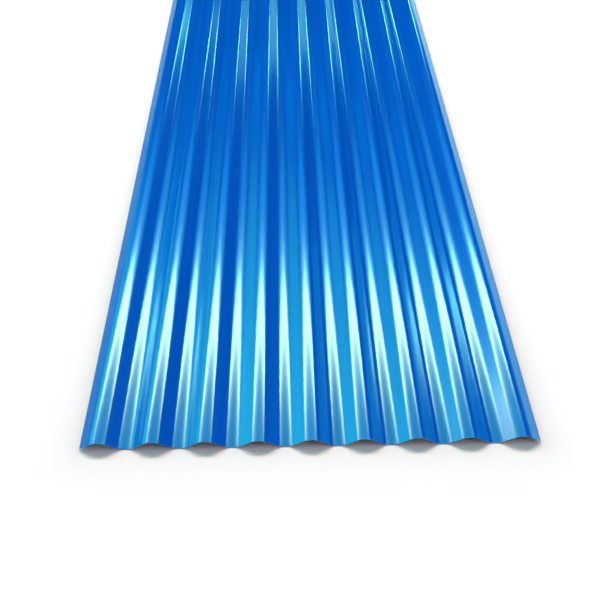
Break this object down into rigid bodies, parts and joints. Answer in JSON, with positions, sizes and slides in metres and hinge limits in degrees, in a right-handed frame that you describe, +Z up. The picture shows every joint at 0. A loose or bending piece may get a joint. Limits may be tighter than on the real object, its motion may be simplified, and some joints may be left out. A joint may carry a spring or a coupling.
{
  "type": "corrugated metal sheet",
  "caption": "Long blue painted steel sheet with even round corrugations along its length, for roofing and wall cladding.",
  "frame": {"origin": "middle of the sheet's footprint, on the plane that the undersides of its valleys rest on", "axes": "+X across the waves, +Y along the waves, +Z up out of the painted face"},
  "size_m": [0.665, 2.44, 0.018],
  "materials": {
    "blue_coil_coat": "gloss"
  },
  "bodies": {
    "root": {"corrugated_sheet": "blue_coil_coat"}
  },
  "joints": []
}
